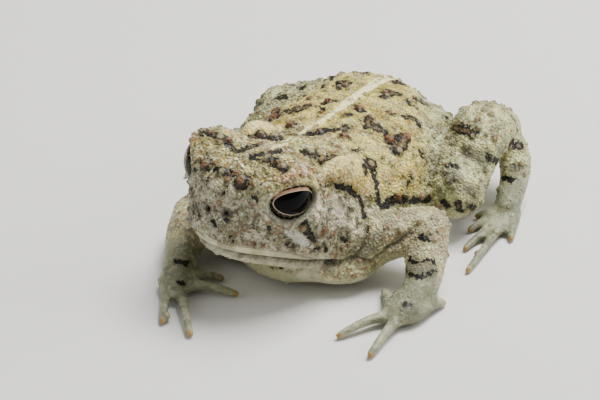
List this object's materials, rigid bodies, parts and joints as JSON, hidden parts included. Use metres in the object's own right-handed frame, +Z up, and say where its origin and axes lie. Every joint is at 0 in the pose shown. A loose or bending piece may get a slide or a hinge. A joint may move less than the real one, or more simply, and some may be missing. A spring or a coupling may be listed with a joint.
{
  "type": "fowlers toad",
  "caption": "Life-size still toad sitting with its head raised, forelegs propped wide and hind legs folded, with warty back, glands behind the eyes and spread digits.",
  "frame": {"origin": "middle of the toad's floor plan, on the floor it sits on", "axes": "+Z up, -Y towards the snout, +X to the toad's left"},
  "size_m": [0.0566, 0.0644, 0.0229],
  "materials": {
    "skin": "satin",
    "throat": "satin",
    "gland": "satin",
    "ear": "satin",
    "eye": "gloss"
  },
  "bodies": {
    "root": {"head": "skin", "lower_jaw": "throat", "eye_left": "eye", "eye_right": "eye", "parotoid_left": "gland", "parotoid_right": "gland", "tympanum_left": "ear", "tympanum_right": "ear", "trunk": "skin", "upper_arm_left": "skin", "forearm_left": "skin", "hand_left": "skin", "upper_arm_right": "skin", "forearm_right": "skin", "hand_right": "skin", "thigh_left": "skin", "shank_left": "skin", "tarsus_left": "skin", "foot_left": "skin", "thigh_right": "skin", "shank_right": "skin", "tarsus_right": "skin", "foot_right": "skin"}
  },
  "joints": []
}
